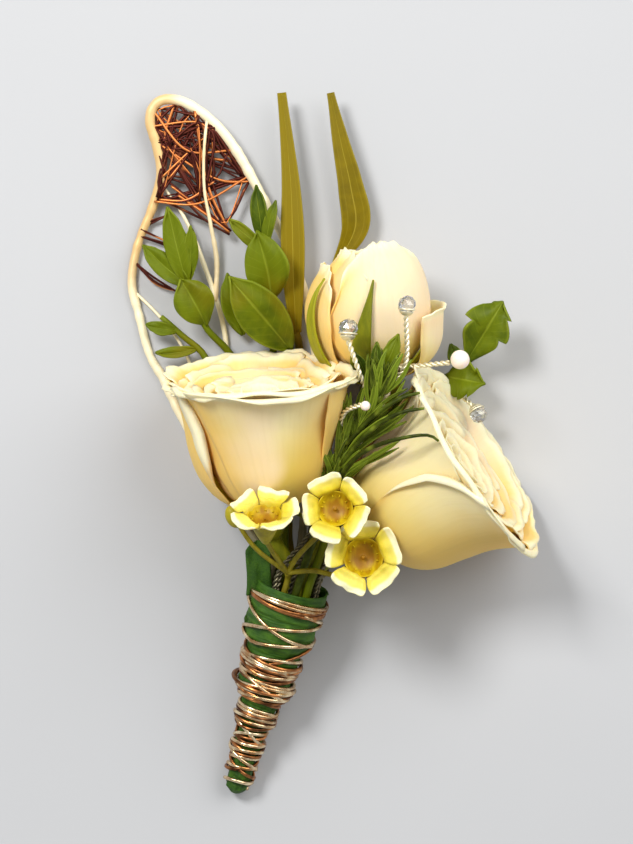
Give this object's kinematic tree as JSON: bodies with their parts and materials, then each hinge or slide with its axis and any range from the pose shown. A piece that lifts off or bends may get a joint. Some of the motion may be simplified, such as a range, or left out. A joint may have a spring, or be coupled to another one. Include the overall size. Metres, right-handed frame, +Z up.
{
  "type": "boutonniere",
  "caption": "Boutonniere of cream roses with small filler flowers, leafy sprigs, a covered wire leaf frame and gem and pearl picks, its stems bound in tape and wound with wire.",
  "frame": {"origin": "centre of the bounding box's base, on the surface that the part lies on", "axes": "+Z up from the surface towards the flowers' front, +Y from the tip of the bound stems to the leaf frame, +X towards the right rose"},
  "size_m": [0.08, 0.1383, 0.0409],
  "materials": {
    "rose_petal": "soft matt petal, cream with a peach shade",
    "rose_green": "satin green calyx and stem",
    "filler_petal": "waxy cream petal",
    "filler_yellow": "matt yellow",
    "filler_olive": "waxy olive green",
    "leaf": "satin green leaf",
    "grass": "satin olive blade",
    "needle": "satin dark green needle",
    "floral_tape": "waxed crepe paper tape",
    "gold_wire": "bright drawn wire",
    "copper_wire": "bright drawn wire",
    "covered_wire": "cream gold covered wire",
    "pick_wire": "pale twisted wire",
    "clear_stone": "cut and polished",
    "pearl": "pearl coat"
  },
  "bodies": {
    "root": {"copper_net": "copper_wire", "copper_wire": "copper_wire", "filler_1_middle": "filler_yellow", "filler_1_petals": "filler_petal", "filler_2_middle": "filler_yellow", "filler_2_petals": "filler_petal", "filler_3_middle": "filler_yellow", "filler_3_petals": "filler_petal", "filler_stems": "filler_olive", "gold_wire": "gold_wire", "grass_left": "grass", "grass_right": "grass", "leaf_frame": "covered_wire", "needle_spray": "needle", "pearl_right": "pearl", "pearl_right_wire": "pick_wire", "pearl_small": "pearl", "pearl_small_wire": "pick_wire", "rose_back_bloom": "rose_petal", "rose_back_stem": "rose_green", "rose_left_bloom": "rose_petal", "rose_left_stem": "rose_green", "rose_right_bloom": "rose_petal", "rose_right_stem": "rose_green", "sprig_centre": "leaf", "sprig_left": "leaf", "sprig_low_left": "leaf", "sprig_middle": "leaf", "sprig_right": "leaf", "stone_back": "clear_stone", "stone_back_wire": "pick_wire", "stone_left": "clear_stone", "stone_left_wire": "pick_wire", "stone_right": "clear_stone", "stone_right_wire": "pick_wire", "tape": "floral_tape"}
  },
  "joints": []
}
